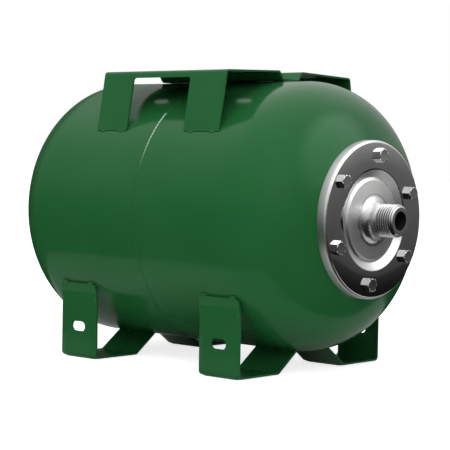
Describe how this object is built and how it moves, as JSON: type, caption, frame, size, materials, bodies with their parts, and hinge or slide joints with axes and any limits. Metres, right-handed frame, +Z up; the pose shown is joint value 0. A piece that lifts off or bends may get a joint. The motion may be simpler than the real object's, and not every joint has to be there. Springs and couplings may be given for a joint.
{
  "type": "pressure tank",
  "caption": "Horizontal steel pressure tank with domed ends, folded feet, a pump platform on top and a bolted flange with a threaded pipe nipple.",
  "frame": {"origin": "on the floor under the middle of the whole length, between the feet", "axes": "+X along the tank from the valve end to the flange and its nipple, +Y across the tank, +Z up"},
  "size_m": [0.4866, 0.2818, 0.3111],
  "materials": {
    "green_paint": "glossy dark green powder coat",
    "zinc_plate": "zinc plated, satin",
    "bare_steel": "plain steel",
    "rubber": "matte moulded rubber",
    "brass": "turned brass",
    "black_plastic": "moulded matte plastic"
  },
  "bodies": {
    "root": {"shell_rear": "green_paint", "shell_front": "green_paint", "girth_weld": "green_paint", "counter_ring": "bare_steel", "weld_nuts": "bare_steel", "flange_plate": "zinc_plate", "nipple": "zinc_plate", "nipple_weld": "bare_steel", "flange_bolts": "zinc_plate", "bladder": "rubber", "valve_boss": "green_paint", "valve_seal": "rubber", "valve_stem": "brass", "valve_core": "brass", "valve_cap": "black_plastic", "foot_flange_left": "green_paint", "foot_flange_right": "green_paint", "foot_valve_left": "green_paint", "foot_valve_right": "green_paint", "pump_platform": "green_paint", "foot_welds": "green_paint", "platform_welds": "green_paint"}
  },
  "joints": []
}
